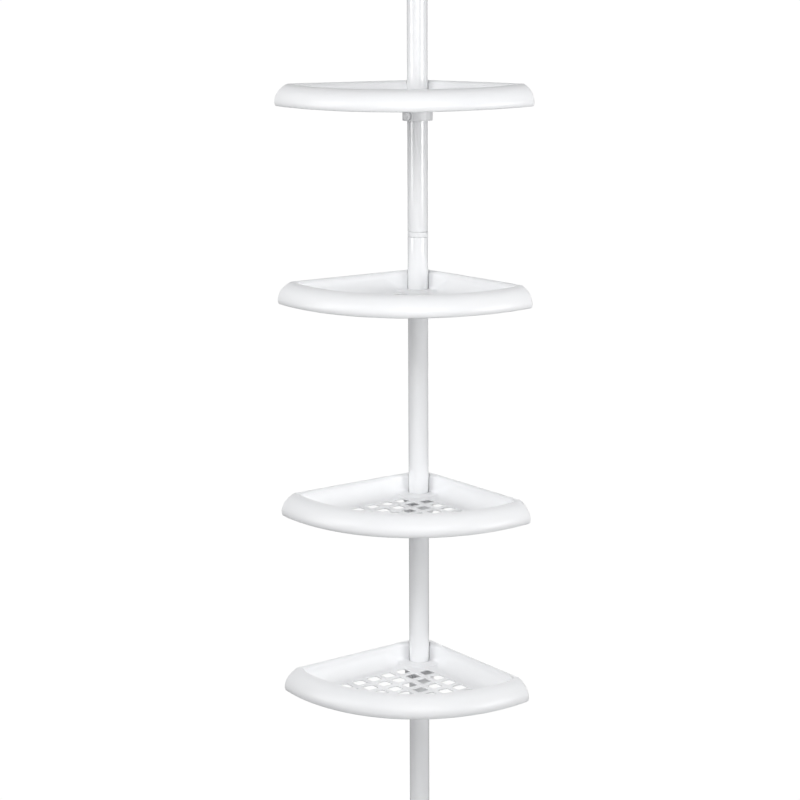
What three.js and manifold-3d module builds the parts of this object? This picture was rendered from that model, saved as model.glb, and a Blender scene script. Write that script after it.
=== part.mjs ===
// Corner shelf unit on a spring-tensioned pole, wedged between floor and ceiling.
// Millimetres, +Z up. The origin is on the pole's axis, on the underside of the
// floor pad. -Y is the front of the shelves, +Y points into the room's corner.
import * as THREE from "three";
import { mergeVertices } from "three/addons/utils/BufferGeometryUtils.js";
import Module from "manifold-3d";

const wasm = await Module();
wasm.setup();

// ---- pole -------------------------------------------------------------
const POLE_R = 11.1; // 22.2 mm (7/8 in) steel tube
const POLE_BORE_R = 10.1;
const SECTION = 520; // pitch of the pole joints
const BAND = 5.2; // exposed band of each coupler
const GAP = 0.3; // play left between pieces that touch
const SOCKET_FLOOR = 16; // lower end of the pole inside the foot
const POLE_TOP = 1560;
const SEG = 32;

// ---- telescoping top ---------------------------------------------------
const INNER_R = 9.5; // 19 mm tube
const INNER_BORE_R = 8.5;
const INNER_BOTTOM = 1230;
const INNER_TOP = 1850;
const TOTAL = 1960; // floor pad to ceiling pad

// ---- shelves -----------------------------------------------------------
const RIMS = [1203.3, 999.7, 772.6, 576.8]; // height of each rim, top shelf first
const CORNER_Y = 25; // where the two back walls' outer planes would meet
const FRONT_Y = 171; // front of the lip, ahead of the pole axis
const FRONT_R = 174; // plan radius of the front
const TIP_R = 3;
const CORNER_R = 17.6; // plan radius of the back corner, round the pole
const INSIDE_R = 32; // plan radius of the same corner on the inside
const DEPTH = 22; // rim to bottom edge at the walls
const DROOP = 3.4; // extra drop of the bottom edge at the front centre
const LIP_DROOP = 3.9; // drop of the lip's crest at the front centre
const LIP_W = 19.4; // width of the rounded lip in plan
const LIP_CURL = 4.5; // height of the lip's widest line over its bottom edge
const CREST_X = 119.9; // where the crest runs into the walls' rims
const FLOOR_Z = -19.9; // floor below the rim
const FLOOR_T = 2.1;
const HUB_TOP_Z = -19;
const HUB_R = 16.2;
const SOCKET_R = 17;
const SOCKET_Z = -29.7;
const BORE_R = 11.5;
const BORE_SEG = 24;
const PITCH = 19.4; // lattice
const HOLE = 12.4;
const LATTICE_Y = -24.3; // where the first cell would be, on the hub

// ---- clamp collars -----------------------------------------------------
const COLLAR_R = 16.2;
const COLLAR_TOP_Z = -30;
const COLLAR_BOTTOM_Z = -42.1;
const SCREW_Z = -37;
const SCREW_AZ = -31; // degrees from the front, towards -X

const material = (color, roughness, metalness = 0) =>
  new THREE.MeshStandardMaterial({ color, roughness, metalness });
const WHITE_STEEL = () => material(0xf1f2f3, 0.22, 0.1);
const WHITE_PLASTIC = () => material(0xf0f2f4, 0.42);
const GREY_RUBBER = () => material(0xb9bbbc, 0.85);
const BARE_STEEL = () => material(0xb8bbc0, 0.3, 1);

// ---- helpers -----------------------------------------------------------
// Merges shared vertices, drops collapsed triangles and turns the faces outwards.
function closed(geometry) {
  const g = geometry.clone();
  g.deleteAttribute("normal");
  if (g.getAttribute("uv")) g.deleteAttribute("uv");
  const m = mergeVertices(g, 1e-4);
  const p = m.getAttribute("position");
  const src = m.getIndex().array;
  const index = [];
  const a = new THREE.Vector3(), b = new THREE.Vector3(), c = new THREE.Vector3();
  let volume = 0;
  for (let i = 0; i < src.length; i += 3) {
    const [i0, i1, i2] = [src[i], src[i + 1], src[i + 2]];
    if (i0 === i1 || i1 === i2 || i2 === i0) continue;
    a.fromBufferAttribute(p, i0); b.fromBufferAttribute(p, i1); c.fromBufferAttribute(p, i2);
    volume += a.dot(b.cross(c)) / 6;
    index.push(i0, i1, i2);
  }
  if (volume < 0) for (let i = 0; i < index.length; i += 3) [index[i + 1], index[i + 2]] = [index[i + 2], index[i + 1]];
  m.setIndex(index);
  return m;
}

const solid = (geometry) => {
  const g = closed(geometry);
  return new wasm.Manifold(new wasm.Mesh({
    numProp: 3,
    vertProperties: new Float32Array(g.getAttribute("position").array),
    triVerts: new Uint32Array(g.getIndex().array),
  }));
};

function geometryOf(manifold) {
  const mesh = manifold.getMesh();
  const g = new THREE.BufferGeometry();
  g.setAttribute("position", new THREE.BufferAttribute(new Float32Array(mesh.vertProperties), 3));
  g.setIndex(Array.from(mesh.triVerts));
  g.computeVertexNormals();
  return g;
}

// Solid of revolution about Z from [radius, height] pairs. A profile that
// doesn't start and end on the axis is closed on itself.
function turned(profile, segments = SEG) {
  const pts = profile.map(([r, z]) => new THREE.Vector2(r, z));
  if (profile[0][0] > 0) pts.push(pts[0].clone());
  return new THREE.LatheGeometry(pts, segments).rotateX(Math.PI / 2);
}
const tube = (r0, r1, z0, z1, segments = SEG) => turned([[r0, z0], [r1, z0], [r1, z1], [r0, z1]], segments);
const rod = (r, z0, z1, segments = SEG) => turned([[0, z0], [r, z0], [r, z1], [0, z1]], segments);

function extruded(points, z0, z1) {
  const shape = new THREE.Shape(points.map(([x, y]) => new THREE.Vector2(x, y)));
  return new THREE.ExtrudeGeometry(shape, { depth: z1 - z0, bevelEnabled: false, steps: 1 }).translate(0, 0, z0);
}

const group = new THREE.Group();
function add(name, geometry, mat, place) {
  const g = geometry.index && !geometry.getAttribute("uv") ? geometry : closed(geometry);
  g.computeVertexNormals();
  const mesh = new THREE.Mesh(g, mat);
  mesh.name = name;
  if (place) place(mesh);
  group.add(mesh);
  return mesh;
}

// ---- floor end ---------------------------------------------------------
add("floor_pad", turned([
  [0, 0], [28.5, 0], [30, 1.2], [30, 9], [28.8, 10.2], [27.3, 10.2], [27.3, 5], [0, 5],
], 24), GREY_RUBBER());
add("floor_foot", turned([
  [0, 5.3], [27, 5.3], [27, 13], [25.5, 16.5], [19, 21], [15.6, 28], [14.6, 38], [14.6, 49],
  [13.6, 50], [POLE_R + 0.45, 50], [POLE_R + 0.45, SOCKET_FLOOR - GAP], [0, SOCKET_FLOOR - GAP],
], 24), WHITE_PLASTIC());

// ---- pole sections and the couplers in their joints --------------------
const joints = [SECTION, 2 * SECTION];
const half = BAND / 2 + GAP;
add("pole_lower", tube(POLE_BORE_R, POLE_R, SOCKET_FLOOR, joints[0] - half), WHITE_STEEL());
add("pole_middle", tube(POLE_BORE_R, POLE_R, joints[0] + half, joints[1] - half), WHITE_STEEL());
add("pole_upper", tube(POLE_BORE_R, POLE_R, joints[1] + half, POLE_TOP), WHITE_STEEL());
joints.forEach((z, i) => {
  const s = POLE_BORE_R - 0.3, b = BAND / 2;
  add(`pole_coupler_${i ? "upper" : "lower"}`, turned([
    [7.8, z - 42], [s, z - 41], [s, z - b], [POLE_R, z - b], [POLE_R, z + b], [s, z + b], [s, z + 41], [7.8, z + 42],
  ], 24), WHITE_PLASTIC());
});

// ---- telescoping tube, twist lock and spring plunger -------------------
add("inner_tube", tube(INNER_BORE_R, INNER_R, INNER_BOTTOM, INNER_TOP), WHITE_STEEL());
add("glide_plug", turned([
  [5.5, INNER_BOTTOM - 6], [9.75, INNER_BOTTOM - 6], [9.75, INNER_BOTTOM - GAP], [8.2, INNER_BOTTOM - GAP],
  [8.2, INNER_BOTTOM + 14], [7.4, INNER_BOTTOM + 16], [5.5, INNER_BOTTOM + 16],
], 24), WHITE_PLASTIC());

// split tapered sleeve that the lock ring squeezes onto the inner tube
{
  const sleeve = solid(turned([
    [9.85, POLE_TOP + GAP], [12.6, POLE_TOP + GAP], [12.6, POLE_TOP + 5], [11.4, POLE_TOP + 19], [9.85, POLE_TOP + 19],
  ], 24));
  const slit = solid(new THREE.BoxGeometry(8, 1.6, 40).translate(-11, 0, POLE_TOP + 10));
  add("lock_collet", geometryOf(sleeve.subtract(slit)), WHITE_PLASTIC());
}
{
  const z0 = POLE_TOP - 22, z1 = POLE_TOP + 27;
  const grip = [];
  const ribs = 10;
  for (let i = 0; i < ribs; i++) {
    for (const [f, r] of [[0, 16.2], [0.5, 16.2], [0.62, 15.2], [0.88, 15.2]]) {
      const t = ((i + f) / ribs) * Math.PI * 2;
      grip.push([r * Math.cos(t), r * Math.sin(t)]);
    }
  }
  const body = solid(turned([
    [0, z0], [13.6, z0], [14.6, z0 + 2], [14.6, z1 - 10], [12.4, z1], [0, z1],
  ], 20)).add(solid(extruded(grip, z0 + 5, z1 - 12)));
  const inside = solid(turned([
    [0, z0 - 1], [BORE_R, z0 - 1], [BORE_R, POLE_TOP - 1], [13.1, POLE_TOP - 1], [13.1, POLE_TOP + 5.5],
    [11.9, POLE_TOP + 19.6], [9.9, POLE_TOP + 20.5], [9.9, z1 + 1], [0, z1 + 1],
  ], 24));
  add("lock_ring", geometryOf(body.subtract(inside)), WHITE_PLASTIC());
}

add("spring_seat", turned([
  [0, 1728], [8.2, 1728], [8.2, 1738], [4.2, 1738], [4.2, 1746], [3.2, 1747], [0, 1747],
], 20), WHITE_PLASTIC());

class Helix extends THREE.Curve {
  constructor(r, z0, z1, turns) { super(); Object.assign(this, { r, z0, z1, turns }); }
  getPoint(t, out = new THREE.Vector3()) {
    const a = t * this.turns * Math.PI * 2;
    return out.set(this.r * Math.cos(a), this.r * Math.sin(a), this.z0 + t * (this.z1 - this.z0));
  }
}
{
  const wire = new THREE.Shape([0, 1, 2, 3, 4].map((i) =>
    new THREE.Vector2(0.9 * Math.cos((i / 5) * Math.PI * 2), 0.9 * Math.sin((i / 5) * Math.PI * 2))));
  add("tension_spring", new THREE.ExtrudeGeometry(wire, {
    steps: 48, bevelEnabled: false, extrudePath: new Helix(6.4, 1739.6, 1828.4, 6),
  }), BARE_STEEL());
}
add("plunger_stem", turned([
  [0, 1830], [8.15, 1830], [8.15, 1838], [6.3, 1838.6], [6.3, 1923.4], [0, 1923.4],
], 24), BARE_STEEL());
add("tube_cap", turned([
  [6.65, INNER_TOP - 9.6], [8.2, INNER_TOP - 9.6], [8.2, INNER_TOP + GAP], [10.6, INNER_TOP + GAP],
  [10.6, INNER_TOP + 6], [9.4, INNER_TOP + 9], [6.65, INNER_TOP + 9],
], 24), WHITE_PLASTIC());

// ---- ceiling end -------------------------------------------------------
add("ceiling_cup", turned([
  [6.65, 1893], [8.6, 1893], [9.8, 1894.2], [9.8, 1914], [12, 1924], [18, 1934], [24.5, 1939], [25.5, 1942],
  [25.5, TOTAL - 5.3], [0, TOTAL - 5.3], [0, 1923.7], [6.65, 1923.7],
], 24), WHITE_PLASTIC());
add("ceiling_pad", turned([
  [0, TOTAL], [27, TOTAL], [28.5, TOTAL - 1.2], [28.5, TOTAL - 9], [27.3, TOTAL - 10.2], [25.8, TOTAL - 10.2],
  [25.8, TOTAL - 5], [0, TOTAL - 5],
], 24), GREY_RUBBER());

// ---- shelf -------------------------------------------------------------
const NF = 9, NT = 2, NC = 3; // points along half the front, a tip and half the corner
const ROOT2 = Math.SQRT2;

// Plan outline, counter-clockwise from the front centre: the front arc and the
// two walls moved inwards by the given amounts. f tells what a point belongs
// to: 1 front, 0 wall, between the two on the tip.
function outline(frontInset, wallInset, tip, corner) {
  const r = FRONT_R - frontInset;
  const yc = r - (FRONT_Y - frontInset);
  const py = CORNER_Y - (wallInset + tip) * ROOT2;
  const qy = py - yc;
  const b = -qy / ROOT2;
  const t = -b + Math.sqrt(b * b - (qy * qy - (r - tip) ** 2));
  const cx = t / ROOT2, cy = py - t / ROOT2;
  const a1 = Math.atan2(cx, -(cy - yc));
  const right = [];
  for (let i = 0; i <= NF; i++) {
    const a = (a1 * i) / NF;
    right.push({ x: r * Math.sin(a), y: yc - r * Math.cos(a), f: 1 });
  }
  for (let i = 1; i <= NT; i++) {
    const a = a1 + ((0.75 * Math.PI - a1) * i) / NT;
    right.push({ x: cx + tip * Math.sin(a), y: cy - tip * Math.cos(a), f: 1 - i / NT });
  }
  const ky = CORNER_Y - (wallInset + corner) * ROOT2;
  for (let i = 0; i <= NC; i++) {
    const a = Math.PI * (0.75 + (0.25 * i) / NC);
    right.push({ x: i === NC ? 0 : corner * Math.sin(a), y: ky - corner * Math.cos(a), f: 0 });
  }
  const left = right.slice(1, -1).reverse().map((p) => ({ ...p, x: -p.x }));
  return [...right, ...left];
}

// One row per ring of the moulded shell, from the floor's underside outwards,
// up the outside, over the rim and down the inside to the floor:
// wall inset, wall height, front inset, front height, tip radius, corner radius
const TIP_X = 132;
const bottomZ = (x) => -DEPTH - DROOP * Math.max(0, 1 - (x / TIP_X) ** 2);
const crestZ = (x) => -LIP_DROOP * Math.max(0, 1 - Math.abs(x / CREST_X) ** 2.9);
const below = (drop) => (x) => crestZ(x) - drop;
const FULLNESS = 1.1; // the lip's section is slightly leaner than an ellipse
// the lip's section from its widest line (0 degrees) to its crest (90 degrees)
const lip = (deg) => {
  const t = (deg * Math.PI) / 180;
  const up = Math.sin(t) ** FULLNESS;
  return [
    0, -DEPTH + LIP_CURL + (DEPTH - LIP_CURL) * up,
    LIP_W * (1 - Math.abs(Math.cos(t)) ** FULLNESS),
    (x) => bottomZ(x) + LIP_CURL + (crestZ(x) - bottomZ(x) - LIP_CURL) * up, TIP_R, CORNER_R,
  ];
};
const at = (z) => () => z;
const UNDER = FLOOR_Z - FLOOR_T;
const RINGS = [
  [18.2, UNDER, 33.6, at(UNDER), 16, 0.4],
  [9.6, -18.6, 25.4, at(-18.6), 13, 8],
  [5.2, -14.6, 18.8, below(3.8), 8, 12.4],
  [3.4, -14.7, 11.0, (x) => bottomZ(x) + 0.74 * (crestZ(x) - bottomZ(x)), 3, 14.2],
  [3.4, -17.5, 3.2, (x) => bottomZ(x) + 8, 2, 14.2],
  [3.3, -DEPTH, 3.8, bottomZ, 1.2, 14.3],
  [0.4, -DEPTH, 1.8, bottomZ, TIP_R, CORNER_R - 0.4],
  lip(0),
  lip(24),
  lip(46),
  lip(68),
  lip(90),
  [1.2, 0, LIP_W + 0.5, crestZ, 3.5, 16.4],
  [3.6, -1.3, LIP_W + 1.3, below(0.5), 4.4, INSIDE_R + 1.5],
  [5.1, -4.6, LIP_W + 1.8, below(2.6), 5.6, INSIDE_R],
  [5.6, -8.9, LIP_W + 2.6, at(-8.9), 7, INSIDE_R],
  [10.2, -16, LIP_W + 6.2, at(-16), 10, INSIDE_R - 5],
  [18.4, FLOOR_Z, LIP_W + 13.5, at(FLOOR_Z), 15, INSIDE_R - 13],
];

function shelfShell() {
  const rings = RINGS.map(([wi, wz, fi, fz, tip, corner]) => outline(fi, wi, tip, corner).map((p) => {
    return [p.x, p.y, p.f * fz(p.x) + (1 - p.f) * wz];
  }));
  const n = rings[0].length;
  const position = rings.flat(2);
  const index = [];
  for (let k = 0; k + 1 < rings.length; k++) {
    for (let i = 0; i < n; i++) {
      const j = (i + 1) % n;
      const [a, b, c, d] = [k * n + i, k * n + j, (k + 1) * n + j, (k + 1) * n + i];
      index.push(a, b, c, a, c, d);
    }
  }
  for (const [k, flip] of [[0, true], [rings.length - 1, false]]) {
    const contour = rings[k].map(([x, y]) => new THREE.Vector2(x, y));
    for (const [a, b, c] of THREE.ShapeUtils.triangulateShape(contour, [])) {
      index.push(...(flip ? [c, b, a] : [a, b, c]).map((v) => v + k * n));
    }
  }
  const g = new THREE.BufferGeometry();
  g.setAttribute("position", new THREE.BufferAttribute(new Float32Array(position), 3));
  g.setIndex(index);
  return g;
}

// The pole stands in the corner, between the walls, so the bore runs down
// through their rounded inner corner and on through the floor and the hub.
function shelfGeometry() {
  const hub = solid(turned([
    [0, SOCKET_Z], [SOCKET_R, SOCKET_Z], [SOCKET_R, HUB_TOP_Z - 0.9], [HUB_R, HUB_TOP_Z], [0, HUB_TOP_Z],
  ], BORE_SEG));
  const bore = solid(rod(BORE_R, -40, 0.2, BORE_SEG));
  const q = PITCH / ROOT2;
  const holes = [];
  for (let s = 1; s <= 7; s++) {
    for (let a = 0; a <= s; a++) {
      if ((s === 6 && (a === 0 || a === 6)) || (s === 7 && (a < 2 || a > 5))) continue;
      holes.push(solid(new THREE.BoxGeometry(HOLE, HOLE, 18).rotateZ(Math.PI / 4)
        .translate((2 * a - s) * q, LATTICE_Y - s * q, -17)));
    }
  }
  return solid(shelfShell()).add(hub).subtract(bore).subtract(wasm.Manifold.union(holes));
}

const shelf = geometryOf(shelfGeometry().asOriginal().simplify(0.02));

// ---- collar, its set screw and the captive nut -------------------------
const collarHeight = COLLAR_TOP_Z - COLLAR_BOTTOM_Z;
const SCREW_R = 2;
const along = (geometry) => geometry.rotateX(Math.PI / 2); // Z axis turned to -Y
function collarGeometry() {
  const ring = solid(turned([
    [BORE_R, COLLAR_BOTTOM_Z], [COLLAR_R, COLLAR_BOTTOM_Z], [COLLAR_R, COLLAR_TOP_Z], [BORE_R, COLLAR_TOP_Z],
  ], BORE_SEG));
  const hole = solid(along(rod(SCREW_R + 0.35, 8, 20, 16)).translate(0, 0, SCREW_Z));
  const slot = solid(new THREE.BoxGeometry(6.6, 2.4, 12).translate(0, -14, SCREW_Z + 2.8));
  return geometryOf(ring.subtract(hole).subtract(slot));
}
const collar = collarGeometry();
const screw = geometryOf(solid(along(turned([
  [0, POLE_R + 0.5], [1.4, POLE_R + 0.5], [SCREW_R, POLE_R + 1.1], [SCREW_R, 17.2], [3.9, 17.2], [4.3, 17.7],
  [4.3, 21.2], [3.8, 21.7], [0, 21.7],
], 16)).translate(0, 0, SCREW_Z)));
const nut = geometryOf(solid(new THREE.BoxGeometry(5.8, 1.8, 5.8).translate(0, -14, SCREW_Z))
  .subtract(solid(along(rod(SCREW_R + 0.35, 8, 20, 16)).translate(0, 0, SCREW_Z))));

RIMS.forEach((z, i) => {
  const n = i + 1;
  const lift = (mesh) => mesh.position.set(0, 0, z);
  const turn = (mesh) => { lift(mesh); mesh.rotation.z = THREE.MathUtils.degToRad(SCREW_AZ); };
  add(`shelf_${n}`, shelf.clone(), WHITE_PLASTIC(), lift);
  add(`collar_${n}`, collar.clone(), WHITE_PLASTIC(), turn);
  add(`collar_screw_${n}`, screw.clone(), WHITE_PLASTIC(), turn);
  add(`collar_nut_${n}`, nut.clone(), BARE_STEEL(), turn);
});

export default group;
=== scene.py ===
import math

import bpy
import numpy as np
from mathutils import Matrix, Vector


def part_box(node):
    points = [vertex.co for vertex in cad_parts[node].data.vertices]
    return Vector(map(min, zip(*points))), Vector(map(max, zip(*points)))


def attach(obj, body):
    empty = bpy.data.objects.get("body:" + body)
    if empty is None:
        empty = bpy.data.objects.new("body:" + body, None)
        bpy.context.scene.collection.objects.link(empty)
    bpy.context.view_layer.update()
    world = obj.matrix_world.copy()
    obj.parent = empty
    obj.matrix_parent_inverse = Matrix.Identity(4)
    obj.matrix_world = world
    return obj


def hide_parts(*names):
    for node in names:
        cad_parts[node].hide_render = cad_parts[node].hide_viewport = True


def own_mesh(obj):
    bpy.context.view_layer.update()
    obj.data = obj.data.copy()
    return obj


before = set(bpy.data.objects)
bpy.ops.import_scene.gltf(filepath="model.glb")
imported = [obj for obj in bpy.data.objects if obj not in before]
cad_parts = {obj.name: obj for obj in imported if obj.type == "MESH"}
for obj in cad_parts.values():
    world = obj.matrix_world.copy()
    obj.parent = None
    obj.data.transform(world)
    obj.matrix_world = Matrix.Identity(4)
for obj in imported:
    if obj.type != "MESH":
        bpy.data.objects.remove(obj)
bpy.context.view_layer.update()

MM = 0.001

# ---- camera ------------------------------------------------------------------
cam_data = bpy.data.cameras.new("camera")
cam_data.sensor_fit = "HORIZONTAL"
cam_data.sensor_width = 36.0
cam_data.lens = 84.28
cam_data.clip_start, cam_data.clip_end = 0.05, 50
cam = bpy.data.objects.new("camera", cam_data)
bpy.context.scene.collection.objects.link(cam)
right = Vector((0.98970455, 0.14304242, -0.00487513))
up = Vector((-0.02378787, 0.19798454, 0.97991646))
back = -Vector((-0.14113482, 0.96971181, -0.19934887))
cam.matrix_world = Matrix((
    (right.x, up.x, back.x, 0.27030),
    (right.y, up.y, back.y, -1.99806),
    (right.z, up.z, back.z, 1.26730),
    (0, 0, 0, 1)))
bpy.context.scene.camera = cam

# ---- node helpers --------------------------------------------------------------


class Graph:
    """A node tree that is built by short calls."""

    def __init__(self, tree):
        self.tree = tree
        tree.nodes.clear()

    def node(self, kind, inputs=None, **settings):
        n = self.tree.nodes.new(kind)
        for k, v in settings.items():
            setattr(n, k, v)
        for k, v in (inputs or {}).items():
            s = n.inputs[k]
            if isinstance(v, bpy.types.NodeSocket):
                self.tree.links.new(v, s)
            else:
                s.default_value = v
        return n

    def math(self, op, a, b=0.0, clamp=False):
        return self.node("ShaderNodeMath", {0: a, 1: b}, operation=op, use_clamp=clamp).outputs[0]

    def ramp(self, value, lo, hi, out_lo, out_hi):
        return self.node("ShaderNodeMapRange", {
            "Value": value, "From Min": lo, "From Max": hi, "To Min": out_lo, "To Max": out_hi}).outputs[0]

    def mix(self, fac, a, b):
        n = self.node("ShaderNodeMix", data_type="RGBA")
        for i, v in ((0, fac), (6, a), (7, b)):
            if isinstance(v, bpy.types.NodeSocket):
                self.tree.links.new(v, n.inputs[i])
            else:
                n.inputs[i].default_value = v
        return n.outputs[2]

    def noise(self, vector, scale, detail=3.0, rough=0.5, kind="FBM"):
        return self.node("ShaderNodeTexNoise", {"Vector": vector, "Scale": scale, "Detail": detail, "Roughness": rough},
                         noise_dimensions="3D", noise_type=kind).outputs[0]


def rgb(r, g, b):
    return (r, g, b, 1.0)


def surface(name, colour, shade, rough, rough_swing, grain, grain_scale, dust=0.0, metallic=0.0, ior=1.46,
            coat=0.0, ring=None, specular=0.5):
    """A finish with slow drifts of colour and gloss, a fine grain and a fainter broad waviness in its relief."""
    m = bpy.data.materials.new(name)
    m.use_nodes = True
    g = Graph(m.node_tree)
    where = g.node("ShaderNodeTexCoord").outputs["Object"]
    slow = g.noise(where, 9.0, 4.0, 0.55)
    mid = g.noise(where, 70.0, 3.0, 0.5)
    fine = g.noise(where, grain_scale, 2.0, 0.5)
    wave = g.noise(where, grain_scale * 0.16, 2.0, 0.45)
    base = g.mix(g.ramp(slow, 0.36, 0.64, 0.0, 1.0), rgb(*shade), rgb(*colour))
    if dust:
        base = g.mix(g.math("MULTIPLY", g.ramp(mid, 0.5, 0.75, 0.0, 1.0), dust, True), base,
                     rgb(*[c * 0.93 for c in shade]))
    gloss = g.math("ADD", g.ramp(mid, 0.3, 0.7, rough - rough_swing, rough + rough_swing),
                   g.ramp(slow, 0.35, 0.65, -0.3 * rough_swing, 0.3 * rough_swing), True)
    relief = g.math("ADD", g.math("MULTIPLY", fine, 0.35), wave)
    if ring:  # fine turned lines round the axis
        z = g.node("ShaderNodeSeparateXYZ", {0: where}).outputs[2]
        lines = g.noise(g.node("ShaderNodeCombineXYZ", {2: z}).outputs[0], ring, 2.0, 0.6)
        relief = g.math("ADD", relief, g.math("MULTIPLY", lines, 0.8))
    bump = g.node("ShaderNodeBump", {"Strength": 1.0, "Distance": grain, "Height": relief})
    p = g.node("ShaderNodeBsdfPrincipled", {
        "Base Color": base, "Roughness": gloss, "Metallic": metallic, "IOR": ior, "Normal": bump.outputs[0],
        "Coat Weight": coat, "Coat Roughness": 0.08, "Specular IOR Level": specular})
    g.node("ShaderNodeOutputMaterial", {"Surface": p.outputs[0]})
    return m


enamel = surface("white_enamel", (0.885, 0.89, 0.90), (0.875, 0.882, 0.895), 0.20, 0.03, 0.000012, 900.0, coat=0.25)
moulding = surface("shelf_plastic", (0.90, 0.905, 0.915), (0.89, 0.897, 0.91), 0.34, 0.05, 0.000022, 1300.0)
fitting = surface("white_moulding", (0.87, 0.875, 0.885), (0.855, 0.862, 0.874), 0.40, 0.06, 0.000026, 1500.0)
rubber = surface("grey_rubber", (0.50, 0.505, 0.51), (0.46, 0.465, 0.47), 0.78, 0.08, 0.00005, 1600.0, dust=0.5)
zinc = surface("bare_steel", (0.60, 0.61, 0.63), (0.52, 0.535, 0.56), 0.30, 0.08, 0.00001, 1400.0, metallic=1.0,
               dust=0.3, ring=2500.0)

# ---- mesh helpers --------------------------------------------------------------


def finished(name, verts, faces, material, body, nodes, sharp=35.0, normals=None):
    """A mesh in millimetres as a piece of the object, in metres, riding on its body."""
    mesh = bpy.data.meshes.new(name)
    mesh.from_pydata([tuple(v) for v in np.asarray(verts) * MM], [], faces)
    mesh.polygons.foreach_set("use_smooth", [True] * len(mesh.polygons))
    if normals is not None:
        mesh.normals_split_custom_set_from_vertices([tuple(n) for n in normals])
    elif sharp:
        mesh.set_sharp_from_angle(angle=math.radians(sharp))
    mesh.materials.append(material)
    mesh.update()
    o = bpy.data.objects.new(name, mesh)
    bpy.context.scene.collection.objects.link(o)
    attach(o, body)
    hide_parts(*nodes)
    return o


def rounded(points, closed=True, steps=5):
    """[(radius, height, fillet)] as a fine profile, each corner turned into an arc."""
    n = len(points)
    out = []
    for i, (r, z, f) in enumerate(points):
        p = np.array([r, z], float)
        if not f or (not closed and i in (0, n - 1)):
            out.append(p)
            continue
        a, b = np.array(points[i - 1][:2], float) - p, np.array(points[(i + 1) % n][:2], float) - p
        la, lb = np.linalg.norm(a), np.linalg.norm(b)
        a, b = a / la, b / lb
        turn = math.acos(max(-1.0, min(1.0, float(a @ b))))
        if turn > math.pi - 0.05:
            out.append(p)
            continue
        cut = min(f / math.tan(turn / 2), 0.48 * la, 0.48 * lb)
        radius = cut * math.tan(turn / 2)
        centre = p + (a + b) / np.linalg.norm(a + b) * radius / math.sin(turn / 2)
        s, e = p + a * cut - centre, p + b * cut - centre
        t0, t1 = math.atan2(s[1], s[0]), math.atan2(e[1], e[0])
        while t1 - t0 > math.pi:
            t1 -= 2 * math.pi
        while t1 - t0 < -math.pi:
            t1 += 2 * math.pi
        for k in range(steps + 1):
            t = t0 + (t1 - t0) * k / steps
            out.append(centre + radius * np.array([math.cos(t), math.sin(t)]))
    return out


def spaced(profile, longest, closed=True):
    """The profile with its long straight runs divided."""
    out = []
    n = len(profile)
    for i in range(n if closed else n - 1):
        a, b = profile[i], profile[(i + 1) % n]
        k = max(1, int(math.ceil(np.linalg.norm(b - a) / longest)))
        out += [a + (b - a) * j / k for j in range(k)]
    if not closed:
        out.append(profile[-1])
    return out


def spin(profile, segments=96, closed=True, shape=None, arc=None):
    """Vertices and faces of a profile turned round Z. An open profile starts and ends on the axis.
    shape(radius, height, angle) may change a point's radius. arc=(from, to) turns only part of the way, with flat ends."""
    full = arc is None
    angles = (np.arange(segments) * 2 * math.pi / segments if full
              else np.linspace(arc[0], arc[1], segments + 1))
    prof = [np.asarray(p, float) for p in profile]
    verts, rows = [], []
    for p in prof:
        if p[0] < 1e-9:
            rows.append([len(verts)] * len(angles))
            verts.append((0.0, 0.0, p[1]))
            continue
        rows.append(list(range(len(verts), len(verts) + len(angles))))
        for t in angles:
            r = shape(p[0], p[1], t) if shape else p[0]
            verts.append((r * math.cos(t), r * math.sin(t), p[1]))
    faces = []
    n, m = len(prof), len(angles)
    for i in range(n if closed else n - 1):
        a, b = rows[i], rows[(i + 1) % n]
        for j in range(m if full else m - 1):
            k = (j + 1) % m
            face = []
            for v in (a[j], a[k], b[k], b[j]):
                if v not in face:
                    face.append(v)
            if len(face) > 2:
                faces.append(face)
    if not full:
        faces.append([r[0] for r in rows])
        faces.append([r[-1] for r in rows][::-1])
    verts = np.array(verts)
    # outward
    vol = 0.0
    for f in faces:
        p = verts[f]
        for j in range(1, len(f) - 1):
            vol += float(np.dot(p[0], np.cross(p[j], p[j + 1])))
    if vol < 0:
        faces = [f[::-1] for f in faces]
    return verts, faces


# ---- solids by distance: inside is positive, all in millimetres ------------------
def meet(a, b, r):
    """Both, with an edge of radius r."""
    return np.maximum(r, np.minimum(a, b)) - np.hypot(np.maximum(r - a, 0), np.maximum(r - b, 0))


def join(a, b, r):
    """Either, with a fillet of radius r."""
    return -meet(-a, -b, r)


def smooth(x, lo, hi):
    t = np.clip((x - lo) / (hi - lo), 0, 1)
    return t * t * (3 - 2 * t)


def gradient(field, p, e=0.02):
    g = np.empty_like(p)
    for k in range(3):
        d = np.zeros(3)
        d[k] = e
        q0, q1 = p - d, p + d
        g[:, k] = (field(q1[:, 0], q1[:, 1], q1[:, 2]) - field(q0[:, 0], q0[:, 1], q0[:, 2])) / (2 * e)
    return g


def settle(field, p, h, rounds=4):
    """Points moved onto the surface."""
    p = p.copy()
    for _ in range(rounds):
        f = field(p[:, 0], p[:, 1], p[:, 2])
        g = gradient(field, p)
        s = np.clip(-f / np.maximum((g * g).sum(1), 0.05), -0.4 * h, 0.4 * h)
        p += g * s[:, None]
    return p


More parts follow.
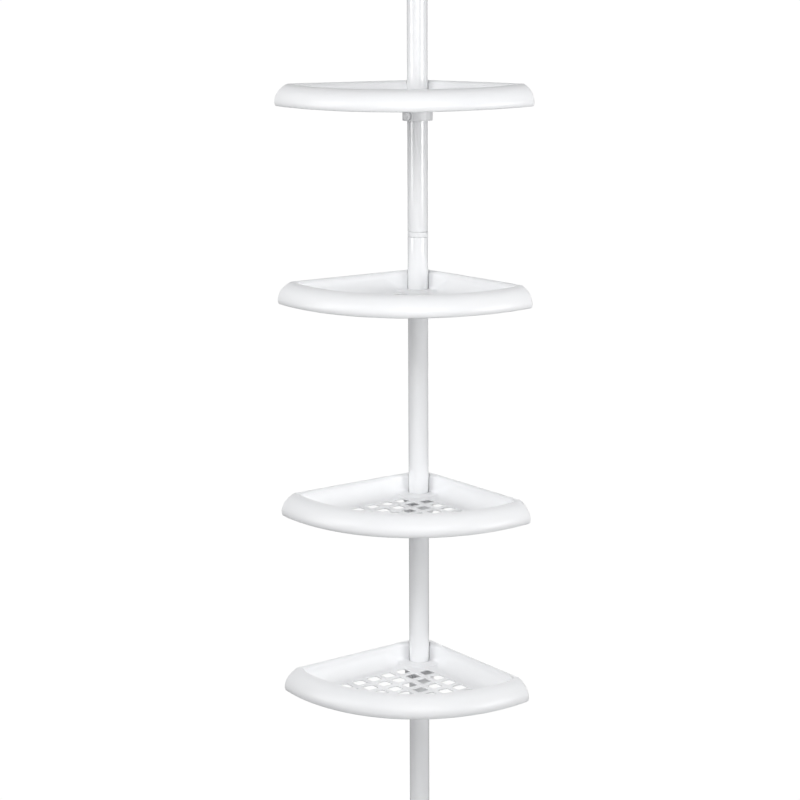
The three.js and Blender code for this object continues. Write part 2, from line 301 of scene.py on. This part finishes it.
def net(field, lo, hi, h):
    """The surface of a field on a grid of pitch h, one vertex per crossed cell, moved onto the surface."""
    axes = [np.arange(a, b + h, h) for a, b in zip(lo, hi)]
    nx, ny, nz = map(len, axes)
    gx, gy = np.meshgrid(axes[0], axes[1], indexing="ij")
    v = np.empty((nx, ny, nz), np.float32)
    for k, z in enumerate(axes[2]):
        v[:, :, k] = field(gx, gy, np.full_like(gx, z))
    inside = v > 0
    corners = [(i, j, k) for i in (0, 1) for j in (0, 1) for k in (0, 1)]
    total = np.zeros((nx - 1, ny - 1, nz - 1), np.int8)
    for i, j, k in corners:
        total += inside[i:nx - 1 + i, j:ny - 1 + j, k:nz - 1 + k]
    ci, cj, ck = np.nonzero((total > 0) & (total < 8))
    index = np.full(total.shape, -1, np.int64)
    index[ci, cj, ck] = np.arange(len(ci))
    values = [v[ci + i, cj + j, ck + k].astype(float) for i, j, k in corners]
    where, count = np.zeros((len(ci), 3)), np.zeros(len(ci))
    for a in range(8):
        for b in range(a + 1, 8):
            if sum(x != y for x, y in zip(corners[a], corners[b])) != 1:
                continue
            crossed = (values[a] > 0) != (values[b] > 0)
            t = np.where(crossed, values[a] / np.where(crossed, values[a] - values[b], 1), 0)
            pa, pb = np.array(corners[a], float), np.array(corners[b], float)
            where += crossed[:, None] * (pa + t[:, None] * (pb - pa))
            count += crossed
    p = np.array(lo, float) + h * (np.stack([ci, cj, ck], 1) + where / count[:, None])
    quads = []
    for axis in range(3):
        s0 = [slice(None)] * 3
        s1 = [slice(None)] * 3
        s0[axis], s1[axis] = slice(0, -1), slice(1, None)
        a, b = inside[tuple(s0)], inside[tuple(s1)]
        i, j, k = np.nonzero(a != b)
        first = a[i, j, k]
        o1, o2 = [x for x in range(3) if x != axis]
        base = np.stack([i, j, k], 1)
        ok = (base[:, o1] > 0) & (base[:, o2] > 0) & (base[:, o1] < v.shape[o1] - 1) & (base[:, o2] < v.shape[o2] - 1)
        base, first = base[ok], first[ok]
        ring = []
        for d1, d2 in ((-1, -1), (0, -1), (0, 0), (-1, 0)):
            c = base.copy()
            c[:, o1] += d1
            c[:, o2] += d2
            ring.append(index[c[:, 0], c[:, 1], c[:, 2]])
        q = np.stack(ring, 1)
        flip = first if axis != 1 else ~first
        q[~flip] = q[~flip][:, ::-1]
        quads.append(q)
    return settle(field, p, h), np.concatenate(quads)


def thinned(name, p, quads, ratio):
    """The mesh with its flat areas made of fewer faces."""
    mesh = bpy.data.meshes.new(name)
    mesh.from_pydata(p.tolist(), [], quads.tolist())
    o = bpy.data.objects.new(name, mesh)
    bpy.context.scene.collection.objects.link(o)
    m = o.modifiers.new("thin", "DECIMATE")
    m.ratio = ratio
    got = bpy.data.meshes.new_from_object(o.evaluated_get(bpy.context.evaluated_depsgraph_get()))
    v = np.empty(len(got.vertices) * 3)
    got.vertices.foreach_get("co", v)
    faces = [list(f.vertices) for f in got.polygons]
    bpy.data.objects.remove(o)
    bpy.data.meshes.remove(mesh)
    bpy.data.meshes.remove(got)
    return v.reshape(-1, 3), faces


def even_normals(p, faces):
    """Vertex normals weighted by the area of the faces round them."""
    n = np.zeros_like(p)
    tri = np.array([f for f in faces if len(f) == 3])
    quad = [f for f in faces if len(f) > 3]
    if quad:
        q = np.array(quad)
        tri = np.concatenate([t for t in (tri.reshape(-1, 3), q[:, [0, 1, 2]], q[:, [0, 2, 3]])])
    c = np.cross(p[tri[:, 1]] - p[tri[:, 0]], p[tri[:, 2]] - p[tri[:, 0]])
    for k in range(3):
        np.add.at(n, tri[:, k], c)
    return n / np.maximum(np.linalg.norm(n, axis=1, keepdims=True), 1e-12)


# ---- tray ----------------------------------------------------------------------
CORNER_Y, FRONT_Y, FRONT_R, CORNER_R = 25.0, 171.0, 174.0, 17.6
DEPTH, DROOP, LIP_DROOP, CREST_X = 22.0, 3.4, 3.9, 119.9
CREST_R, CREST_Y, LIP_CURL, FULLNESS = 155.0, 151.55, 4.5, 1.82
WALL, INSIDE_R, FLOOR_Z, FLOOR_T = 5.0, 37.0, -19.95, 2.0
BORE_R, RELIEF_R, SOCKET_R, SOCKET_Z, BOSS_R, BOSS_Z = 11.45, 11.5, 17.0, -29.7, 24.5, -19.1
PITCH, HOLE, LATTICE_Y = 19.4, 13.0, -24.3
ROOT2 = math.sqrt(2)


def tray(x, y, z):
    ax = np.abs(x)
    w1, w2 = (CORNER_Y - ax - y) / ROOT2, (CORNER_Y + ax - y) / ROOT2
    a = meet(w1, w2, CORNER_R)  # in from the walls' outside
    b = FRONT_R - np.hypot(x, y - (FRONT_R - FRONT_Y))  # in from the front's widest line
    c = CREST_R - np.hypot(x, y - (CREST_R - CREST_Y))  # in from its crest
    r = np.hypot(x, y)
    bottom = -DEPTH - DROOP * np.clip(1 - (ax / 132.0) ** 2, 0, 1)
    crest = -LIP_DROOP * np.clip(1 - (ax / CREST_X) ** 2.9, 0, 1) * (1 - smooth(c, 6, 30))
    wide, widest = np.maximum(b - c, 12.0), bottom + LIP_CURL

    def lip(top, curled=True):
        """In from the lip's surface: a full curve from the crest to the widest line, and a curl under it."""
        h = top - widest
        px, pz = np.maximum(1 - b / wide, 1e-6), np.maximum((z - widest) / h, 1e-6)
        k = (px ** FULLNESS + pz ** FULLNESS) ** (1 / FULLNESS)
        slope = np.hypot((px / k) ** (FULLNESS - 1) / wide, (pz / k) ** (FULLNESS - 1) / h)
        upper = np.minimum((1 - k) / slope, 20.0)
        if not curled:
            return upper
        ex, ez = np.maximum(3.4 - b, 0) / 3.4, np.maximum(widest - z, 0) / 5.6
        k0, k1 = np.hypot(ex, ez), np.hypot(ex / 3.4, ez / 5.6)
        return np.minimum(upper, np.where(k1 > 1e-3, k0 * (1 - k0) / np.maximum(k1, 1e-3), 5.6))

    low, high = lip(crest), lip(0.0)
    tip = 0.8 + 2.2 * (1 - smooth(b, 10, 20))
    outside = meet(a, high, tip)
    outside = np.minimum(outside, join(WALL + 0.2 - a, low, 2.2))

    # the hollow above the floor
    wall, front = meet(w1, w2, WALL + INSIDE_R) - (WALL - 0.06 * z), c - (1.6 - 0.08 * z)
    plan = np.interp(z, [-19.9, -16.2, -8.0, 0], [30, 15.6, 7.6, 5])
    cove = 14.4 - 9.9 * (1 - smooth(r, 18, 42))
    hollow = meet(meet(wall, front, plan), z - FLOOR_Z, cove)

    # a low boss round the pole, which stands in a channel of the filled corner
    body = join(-hollow, meet(BOSS_R - r, BOSS_Z - z, 0.6), 1.0)
    edge = 1.7 + 2.5 * smooth(c, 3, 14)
    body = meet(body, outside, edge)

    # the hollow below
    thick = 2.35 + 1.6 * (1 - smooth(z - bottom, 0.5, 7))
    under = meet(meet(-hollow - FLOOR_T, a - WALL - 0.5, 1.5), lip(crest, False) - thick, 2.0)
    body = meet(body, -under, 0.5)
    foot = smooth(b, 4.5, 10)
    body = meet(body, z - (bottom * (1 - foot) - DEPTH * foot), 0.45)
    socket = meet(SOCKET_R - r, np.minimum(z - SOCKET_Z, BOSS_Z - 0.4 - z), 0.6)
    body = join(body, socket, 1.2)
    body = meet(body, r - BORE_R, 0.35)
    channel = RELIEF_R + 0.35 * np.maximum(z + 4.0, 0) - r
    body = meet(body, -np.minimum(channel, z - BOSS_Z), 0.2)

    # lattice of rounded square openings
    q = PITCH / ROOT2
    s, t = -(y - LATTICE_Y) / q, x / q
    i, j = np.round((s + t) / 2), np.round((s - t) / 2)
    n = i + j
    there = (i >= 0) & (j >= 0) & (n >= 1) & (n <= 7)
    there &= ~((n == 6) & ((i == 0) | (j == 0)))
    there &= ~((n == 7) & ((i < 2) | (j < 2)))
    e = HOLE / 2 - 1.5
    u, v = np.abs((s + t) / 2 - i) * PITCH - e, np.abs((s - t) / 2 - j) * PITCH - e
    opening = 1.5 - np.hypot(np.maximum(u, 0), np.maximum(v, 0)) - np.minimum(np.maximum(u, v), 0)
    opening = np.where(there, np.maximum(opening + 0.45 * np.clip(FLOOR_Z - 0.5 - z, 0, 1.5), -4.0), -4.0)
    return meet(body, -opening, 0.5)


RIMS = [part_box(f"shelf_{i}")[1].z / MM for i in range(1, 5)]
tray_h = 0.72
points, quads = net(tray, (-134.2, -172.3, -30.9), (134.2, 19.4, 1.1), tray_h)
tray_v, tray_f = thinned("tray", points, quads, 0.27)
tray_v = settle(tray, tray_v, 0.5, 3)
tray_n = even_normals(tray_v, tray_f)
print("tray", len(points), "vertices on the grid,", len(tray_f), "faces kept", tray_v.min(0), tray_v.max(0))
for i, rim in enumerate(RIMS, 1):
    finished(f"tray_{i}", tray_v + np.array([0, 0, rim]), tray_f, moulding, f"shelf_{i}", [f"shelf_{i}"],
             normals=tray_n)

# ---- clamp collars, screws and nuts ----------------------------------------------
SCREW_AZ = math.radians(-31)
COLLAR_R, COLLAR_TOP, COLLAR_BOTTOM, SCREW_Z = 16.2, -30.0, -42.1, -37.0


def collar(x, y, z):
    """Its screw points along -Y."""
    r = np.hypot(x, y)
    ring = meet(meet(COLLAR_R - r, COLLAR_TOP - z, 0.7), z - COLLAR_BOTTOM, 0.7)
    ring = meet(ring, r - BORE_R, 0.35)
    boss = meet(5.6 - np.hypot(x, z - SCREW_Z), -y - 12.0, 0.4)
    boss = meet(boss, y + 16.5, 0.3)
    ring = np.maximum(ring, np.minimum(boss, np.minimum(16.5 + y, 30)))
    hole = 2.35 - np.hypot(x, z - SCREW_Z)
    ring = meet(ring, -np.where(y < 0, hole, -3.0), 0.3)
    slot = meet(meet(3.3 - np.abs(x), 1.2 - np.abs(y + 14.0), 0.25), z - (SCREW_Z - 3.2), 0.3)
    return meet(ring, -slot, 0.25)


def turned(v, angle, z):
    c, s = math.cos(angle), math.sin(angle)
    return v @ np.array([[c, s, 0], [-s, c, 0], [0, 0, 1]]) + np.array([0, 0, z])


points, quads = net(collar, (-17.3, -17.5, -43.0), (17.3, 17.3, -29.2), 0.3)
collar_v, collar_f = thinned("collar", points, quads, 0.35)
collar_v = settle(collar, collar_v, 0.3, 3)
collar_n = even_normals(collar_v, collar_f)


def nut(x, y, z):
    zz = z - SCREW_Z
    block = meet(meet(2.9 - np.abs(x), 2.9 - np.abs(zz), 0.35), 0.9 - np.abs(y + 14.0), 0.2)
    return meet(block, np.hypot(x, zz) - 2.3, 0.2)


points, quads = net(nut, (-3.6, -15.5, SCREW_Z - 3.6), (3.6, -12.5, SCREW_Z + 3.6), 0.22)
nut_v, nut_f = thinned("nut", points, quads, 0.4)
nut_v = settle(nut, nut_v, 0.2, 2)
nut_n = even_normals(nut_v, nut_f)


def screw_mesh():
    """Along +Z from its tip: threaded shank, neck and knurled head."""
    prof = rounded([(0, 11.6, 0), (1.3, 11.6, 0.3), (2.0, 12.4, 0.3), (2.0, 17.2, 0.1), (3.7, 17.2, 0.25),
                    (4.3, 17.9, 0.35), (4.3, 20.9, 0.45), (3.5, 21.7, 0.6), (2.6, 21.7, 0.25), (2.4, 21.3, 0.3),
                    (0, 21.3, 0)], closed=False, steps=4)
    prof = spaced(prof, 0.12, closed=False)

    def shape(r, z, t):
        if z < 17.0 and r > 1.2:
            turn = (t / (2 * math.pi) - z / 0.7) % 1.0
            return r - 0.28 * abs(2 * turn - 1) * min(1.0, (17.0 - z) / 0.4)
        if r > 3.6 and z > 17.4:
            depth = min(1.0, (z - 17.5) / 0.5) * min(1.0, max(0.0, 21.4 - z) / 0.5)
            a = math.cos(t * 30 + (z - 19.4) * 2.6) * math.cos(t * 30 - (z - 19.4) * 2.6)
            return r - 0.24 * max(0.0, depth) * (0.5 - 0.5 * a)
        return r

    return spin(prof, 180, closed=False, shape=shape)


screw_v, screw_f = screw_mesh()
screw_v = screw_v[:, [0, 2, 1]] * np.array([1, -1, 1])  # its axis turned to -Y
screw_v = screw_v + np.array([0, 0, SCREW_Z])
for i, rim in enumerate(RIMS, 1):
    finished(f"clamp_collar_{i}", turned(collar_v, SCREW_AZ, rim), collar_f, fitting, f"collar_{i}",
             [f"collar_{i}"],
             normals=turned(collar_n, SCREW_AZ, 0))
    finished(f"thumb_screw_{i}", turned(screw_v, SCREW_AZ, rim), screw_f, fitting, f"collar_screw_{i}",
             [f"collar_screw_{i}"], sharp=60)
    finished(f"captive_nut_{i}", turned(nut_v, SCREW_AZ, rim), nut_f, zinc, f"collar_{i}", [f"collar_nut_{i}"],
             normals=turned(nut_n, SCREW_AZ, 0))

# ---- pole ----------------------------------------------------------------------
POLE_R, POLE_BORE, SECTION, BAND, GAP = 11.1, 10.1, 520.0, 5.2, 0.3


def tube(name, r0, r1, z0, z1, edge, material, body, node, segments=128):
    prof = spaced(rounded([(r0, z0, 0.15), (r1, z0, edge), (r1, z1, edge), (r0, z1, 0.15)]), 26.0)
    v, f = spin(prof, segments)
    return finished(name, v, f, material, body, [node])


half = BAND / 2 + GAP
tube("pole_tube_lower", POLE_BORE, POLE_R, 16.0, SECTION - half, 0.4, enamel, "root", "pole_lower")
tube("pole_tube_middle", POLE_BORE, POLE_R, SECTION + half, 2 * SECTION - half, 0.4, enamel, "root", "pole_middle")
tube("pole_tube_upper", POLE_BORE, POLE_R, 2 * SECTION + half, 1560.0, 0.4, enamel, "root", "pole_upper")
for label, z in (("lower", SECTION), ("upper", 2 * SECTION)):
    s, b = POLE_BORE - 0.3, BAND / 2
    prof = [(7.8, z - 42, 0.5), (s - 0.4, z - 42, 0.8), (s, z - 38, 0.8)]
    for k in (-1, 1):
        if k < 0:
            prof += [(s, z - b, 0.05), (POLE_R, z - b, 0.35)]
        else:
            prof += [(POLE_R, z + b, 0.35), (s, z + b, 0.05)]
    prof += [(s, z + 38, 0.8), (s - 0.4, z + 42, 0.8), (7.8, z + 42, 0.5)]

    def grip(r, h, t, z=z, s=s):
        """Shallow flutes along the spigots."""
        if abs(h - z) > 4 and r > s - 0.5:
            return r - 0.35 * (0.5 + 0.5 * math.cos(t * 12)) * min(1.0, (abs(h - z) - 4) / 3)
        return r

    v, f = spin(spaced(rounded(prof), 6.0), 120, shape=grip)
    finished(f"coupler_{label}", v, f, fitting, "root", [f"pole_coupler_{label}"])

# ---- floor end -------------------------------------------------------------------
prof = [(0, 0, 0), (28.6, 0, 0.8), (30, 1.4, 0.8), (30, 3.2, 0.4), (29.4, 3.7, 0.25), (29.4, 4.3, 0.25),
        (30, 4.8, 0.4), (30, 6.2, 0.4), (29.4, 6.7, 0.25), (29.4, 7.3, 0.25), (30, 7.8, 0.4), (30, 9.2, 0.8),
        (28.9, 10.2, 0.6), (27.3, 10.2, 0.3), (27.3, 5, 0.3), (0, 5, 0)]
v, f = spin(spaced(rounded(prof, closed=False), 5.0, closed=False), 144, closed=False)
finished("foot_pad", v, f, rubber, "root", ["floor_pad"])
prof = [(0, 5.3, 0), (27, 5.3, 0.4), (27, 12.6, 1.6), (25.2, 16.6, 2.5), (19.2, 20.8, 7), (15.7, 28.5, 9),
        (14.7, 38, 8), (14.7, 45.6, 0.3), (14.3, 46.1, 0.2), (14.3, 46.8, 0.2), (14.7, 47.3, 0.3), (14.7, 49, 0.6),
        (13.8, 50, 0.5), (11.55, 50, 0.3), (11.55, 15.7, 0.2), (0, 15.7, 0)]
v, f = spin(spaced(rounded(prof, closed=False), 5.0, closed=False), 144, closed=False)
finished("foot_cup", v, f, fitting, "root", ["floor_foot"])

# ---- telescoping top ---------------------------------------------------------------
tube("telescope_tube", 8.5, 9.5, 1230.0, 1850.0, 0.3, enamel, "telescope", "inner_tube")
prof = [(5.5, 1224, 0.3), (9.75, 1224, 0.7), (9.75, 1229.7, 0.3), (8.2, 1229.7, 0.1), (8.2, 1244.5, 0.6),
        (7.5, 1246, 0.4), (5.5, 1246, 0.3)]
v, f = spin(spaced(rounded(prof), 3.0), 96)
finished("guide_plug", v, f, fitting, "telescope", ["glide_plug"])
prof = [(9.85, 1560.3, 0.2), (12.6, 1560.3, 0.4), (12.6, 1565, 0.5), (11.4, 1579, 0.5), (9.85, 1579, 0.2)]
slit = 0.8 / 11
v, f = spin(spaced(rounded(prof), 2.0), 96, arc=(math.pi + slit, 3 * math.pi - slit))
finished("split_collet", v, f, fitting, "root", ["lock_collet"])

z0, z1 = 1538.0, 1587.0
prof = [(11.5, z0, 0.4), (13.7, z0, 0.7), (14.6, z0 + 2, 0.8), (14.6, z0 + 5, 0.2), (14.6, z1 - 12, 0.2),
        (14.6, z1 - 10, 1.2), (12.4, z1, 1.2), (9.9, z1, 0.4), (9.9, z1 - 6.5, 0.2), (11.9, z1 - 7.4, 0.2),
        (13.1, 1565.5, 0.2), (13.1, 1559, 0.2), (11.5, 1559, 0.2)]


def ribs(r, z, t):
    if r < 14.3:
        return r
    up_ = min(1.0, max(0.0, (z - (z0 + 4.4)) / 1.8)) * min(1.0, max(0.0, (z1 - 11.4 - z) / 1.8))
    up_ = up_ * up_ * (3 - 2 * up_)
    w = math.cos(10 * (t - 0.25 * 2 * math.pi / 10))
    w = 1 / (1 + math.exp(-7 * (w + 0.1)))
    return r + up_ * (0.6 + 1.0 * w)


v, f = spin(spaced(rounded(prof), 1.0), 240, shape=ribs)
finished("twist_lock_ring", v, f, fitting, "lock_ring", ["lock_ring"], sharp=50)

prof = [(0, 1728, 0), (8.2, 1728, 0.5), (8.2, 1738, 0.5), (4.2, 1738, 0.5), (4.2, 1745.5, 0.6), (3.2, 1747, 0.5),
        (0, 1747, 0)]
v, f = spin(spaced(rounded(prof, closed=False), 2.0, closed=False), 80, closed=False)
finished("spring_plug", v, f, fitting, "telescope", ["spring_seat"])


def helix(radius, wire, z0, z1, turns, dead, steps=40, sides=14):
    """A compression spring with closed end coils."""
    n = int(turns * steps)
    ts = np.linspace(0, turns, n + 1)
    rise = 2 * wire * 1.03
    free = turns - 2 * dead
    step_z = (z1 - z0 - 2 * dead * rise) / free
    grow = np.where(ts < dead, rise, np.where(ts > turns - dead, rise, step_z))
    k = np.ones(21) / 21
    grow = np.convolve(np.pad(grow, 10, mode="edge"), k, mode="valid")
    z = np.concatenate([[0], np.cumsum((grow[1:] + grow[:-1]) / 2 * np.diff(ts))])
    z = z0 + z * (z1 - z0) / z[-1]
    a = ts * 2 * math.pi
    c = np.stack([radius * np.cos(a), radius * np.sin(a), z], 1)
    tang = np.gradient(c, axis=0)
    tang /= np.linalg.norm(tang, axis=1, keepdims=True)
    out = np.stack([np.cos(a), np.sin(a), 0 * a], 1)
    side = np.cross(tang, out)
    verts = []
    for j in range(n + 1):
        for s in range(sides):
            w = 2 * math.pi * s / sides
            verts.append(c[j] + wire * (math.cos(w) * out[j] + math.sin(w) * side[j]))
    faces = []
    for j in range(n):
        for s in range(sides):
            t = (s + 1) % sides
            faces.append([j * sides + s, j * sides + t, (j + 1) * sides + t, (j + 1) * sides + s])
    faces.append(list(range(sides))[::-1])
    faces.append([n * sides + s for s in range(sides)])
    return np.array(verts), faces


v, f = helix(6.4, 0.9, 1739.6, 1828.4, 9.0, 1.0)
coil = finished("compression_spring", v, f, zinc, "telescope", ["tension_spring"], sharp=60)
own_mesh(coil)

prof = [(0, 1830, 0), (8.15, 1830, 0.5), (8.15, 1837.6, 0.6), (6.3, 1838.6, 0.5), (6.3, 1922.8, 0.5),
        (5.8, 1923.4, 0.3), (0, 1923.4, 0)]
v, f = spin(spaced(rounded(prof, closed=False), 4.0, closed=False), 96, closed=False)
finished("plunger_rod", v, f, zinc, "plunger", ["plunger_stem"])
prof = [(6.65, 1840.4, 0.2), (8.2, 1840.4, 0.5), (8.2, 1850.3, 0.1), (10.6, 1850.3, 0.4), (10.6, 1855.6, 1.2),
        (9.3, 1859, 1.0), (6.65, 1859, 0.5)]
v, f = spin(spaced(rounded(prof), 2.0), 96)
finished("telescope_cap", v, f, fitting, "telescope", ["tube_cap"])

# ---- ceiling end -------------------------------------------------------------------
prof = [(6.65, 1893, 0.3), (9.0, 1893, 0.7), (9.8, 1894.2, 0.5), (9.8, 1896, 0.2), (9.4, 1896.5, 0.2),
        (9.4, 1897.2, 0.2), (9.8, 1897.7, 0.2), (9.8, 1914, 8), (12.1, 1924, 8), (18.2, 1933.8, 7),
        (24.2, 1939, 2.5), (25.5, 1942.4, 1.5), (25.5, 1954.7, 0.4), (0, 1954.7, 0), (0, 1923.7, 0),
        (6.65, 1923.7, 0.2)]
v, f = spin(spaced(rounded(prof), 4.0), 144)
finished("ceiling_bell", v, f, fitting, "plunger", ["ceiling_cup"])
prof = [(0, 1960, 0), (27.1, 1960, 0.8), (28.5, 1958.6, 0.8), (28.5, 1956.8, 0.4), (27.95, 1956.3, 0.25),
        (27.95, 1955.7, 0.25), (28.5, 1955.2, 0.4), (28.5, 1953.8, 0.4), (27.95, 1953.3, 0.25),
        (27.95, 1952.7, 0.25), (28.5, 1952.2, 0.4), (28.5, 1950.8, 0.6), (27.4, 1949.8, 0.5), (25.8, 1949.8, 0.3),
        (25.8, 1955, 0.3), (0, 1955, 0)]
v, f = spin(spaced(rounded(prof, closed=False), 5.0, closed=False), 144, closed=False)
finished("ceiling_face", v, f, rubber, "plunger", ["ceiling_pad"])

# ---- floor, world and lights ---------------------------------------------------------
floor = bpy.data.meshes.new("floor")
segments = 96
rim = [(5 * math.cos(2 * math.pi * k / segments), 5 * math.sin(2 * math.pi * k / segments), 0)
       for k in range(segments)]
floor.from_pydata(rim, [], [list(range(segments))])
ground = bpy.data.objects.new("floor", floor)
bpy.context.scene.collection.objects.link(ground)
ground.location.z = -0.0003
m = bpy.data.materials.new("floor")
m.use_nodes = True
g = Graph(m.node_tree)
where = g.node("ShaderNodeTexCoord").outputs["Object"]
far = g.node("ShaderNodeVectorMath", {0: where}, operation="LENGTH").outputs["Value"]
far = g.ramp(far, 0.35, 0.85, 0.0, 1.0)
grain = g.noise(where, 400.0, 3.0, 0.5)
bump = g.node("ShaderNodeBump", {"Strength": 0.15, "Distance": 0.0003, "Height": grain})
pale = g.node("ShaderNodeBsdfPrincipled", {"Base Color": rgb(0.86, 0.865, 0.875), "Roughness": 0.6,
                                           "Normal": bump.outputs[0]})
direct = g.node("ShaderNodeLightPath").outputs["Is Camera Ray"]
glow = g.node("ShaderNodeEmission", {"Color": rgb(1, 1, 1), "Strength": g.ramp(direct, 0.0, 1.0, 0.10, 1.02)})
mixed = g.node("ShaderNodeMixShader", {0: far, 1: pale.outputs[0], 2: glow.outputs[0]})
g.node("ShaderNodeOutputMaterial", {"Surface": mixed.outputs[0]})
floor.materials.append(m)

world = bpy.data.worlds.new("studio")
bpy.context.scene.world = world
world.use_nodes = True
g = Graph(world.node_tree)
way = g.node("ShaderNodeTexCoord").outputs["Generated"]
height = g.node("ShaderNodeSeparateXYZ", {0: way}).outputs[2]
# brightest from 20 to 50 degrees up all round, dim at eye level and overhead
band = g.math("MULTIPLY", g.ramp(height, 0.25, 0.45, 0.0, 1.0), g.ramp(height, 0.70, 0.85, 1.0, 0.0))
tone = g.ramp(band, 0.0, 1.0, 0.145, 0.434)
seen = g.node("ShaderNodeBackground", {"Color": rgb(1, 1, 1), "Strength": 1.02})
cast = g.node("ShaderNodeBackground", {"Color": rgb(0.985, 0.99, 1.0), "Strength": tone})
path = g.node("ShaderNodeLightPath").outputs["Is Camera Ray"]
both = g.node("ShaderNodeMixShader", {0: path, 1: cast.outputs[0], 2: seen.outputs[0]})
g.node("ShaderNodeOutputWorld", {"Surface": both.outputs[0]})


def softbox(name, at, to, width, height, power, colour=(1, 1, 1)):
    d = bpy.data.lights.new(name, "AREA")
    d.shape, d.size, d.size_y, d.energy, d.color = "RECTANGLE", width, height, power, colour
    o = bpy.data.objects.new(name, d)
    o.location = at
    o.rotation_mode = "QUATERNION"
    o.rotation_quaternion = (Vector(to) - Vector(at)).to_track_quat("-Z", "Y")
    bpy.context.scene.collection.objects.link(o)
    o.visible_camera = False
    return o


softbox("key_low", (0.15, -1.35, 1.45), (0, -0.05, 0.95), 0.9, 0.5, 4.1)
softbox("key_high", (0.15, -1.23, 1.75), (0, -0.05, 0.95), 0.9, 0.5, 3.35)
softbox("left_high", (-1.5, -1.1, 2.0), (0, 0, 0.9), 0.8, 0.6, 10.2)
softbox("left_level", (-1.8, -1.0, 1.15), (0, 0, 0.9), 0.7, 0.5, 9.8)
softbox("right_side", (1.8, -1.1, 1.2), (0, 0, 0.9), 0.8, 1.8, 5.2)
softbox("right_level", (1.8, -1.0, 1.15), (0, 0, 0.9), 0.7, 0.5, 15.1)
softbox("rear_fill", (0.0, 2.4, 0.95), (0, 0, 0.95), 1.4, 1.6, 14.0)
softbox("front_low", (0.2, -2.2, 0.5), (0, 0, 0.9), 1.2, 0.8, 1.1)

scene = bpy.context.scene
scene.view_settings.view_transform = "Standard"
scene.view_settings.look = "None"
scene.view_settings.exposure = 0.0
scene.view_settings.gamma = 1.0
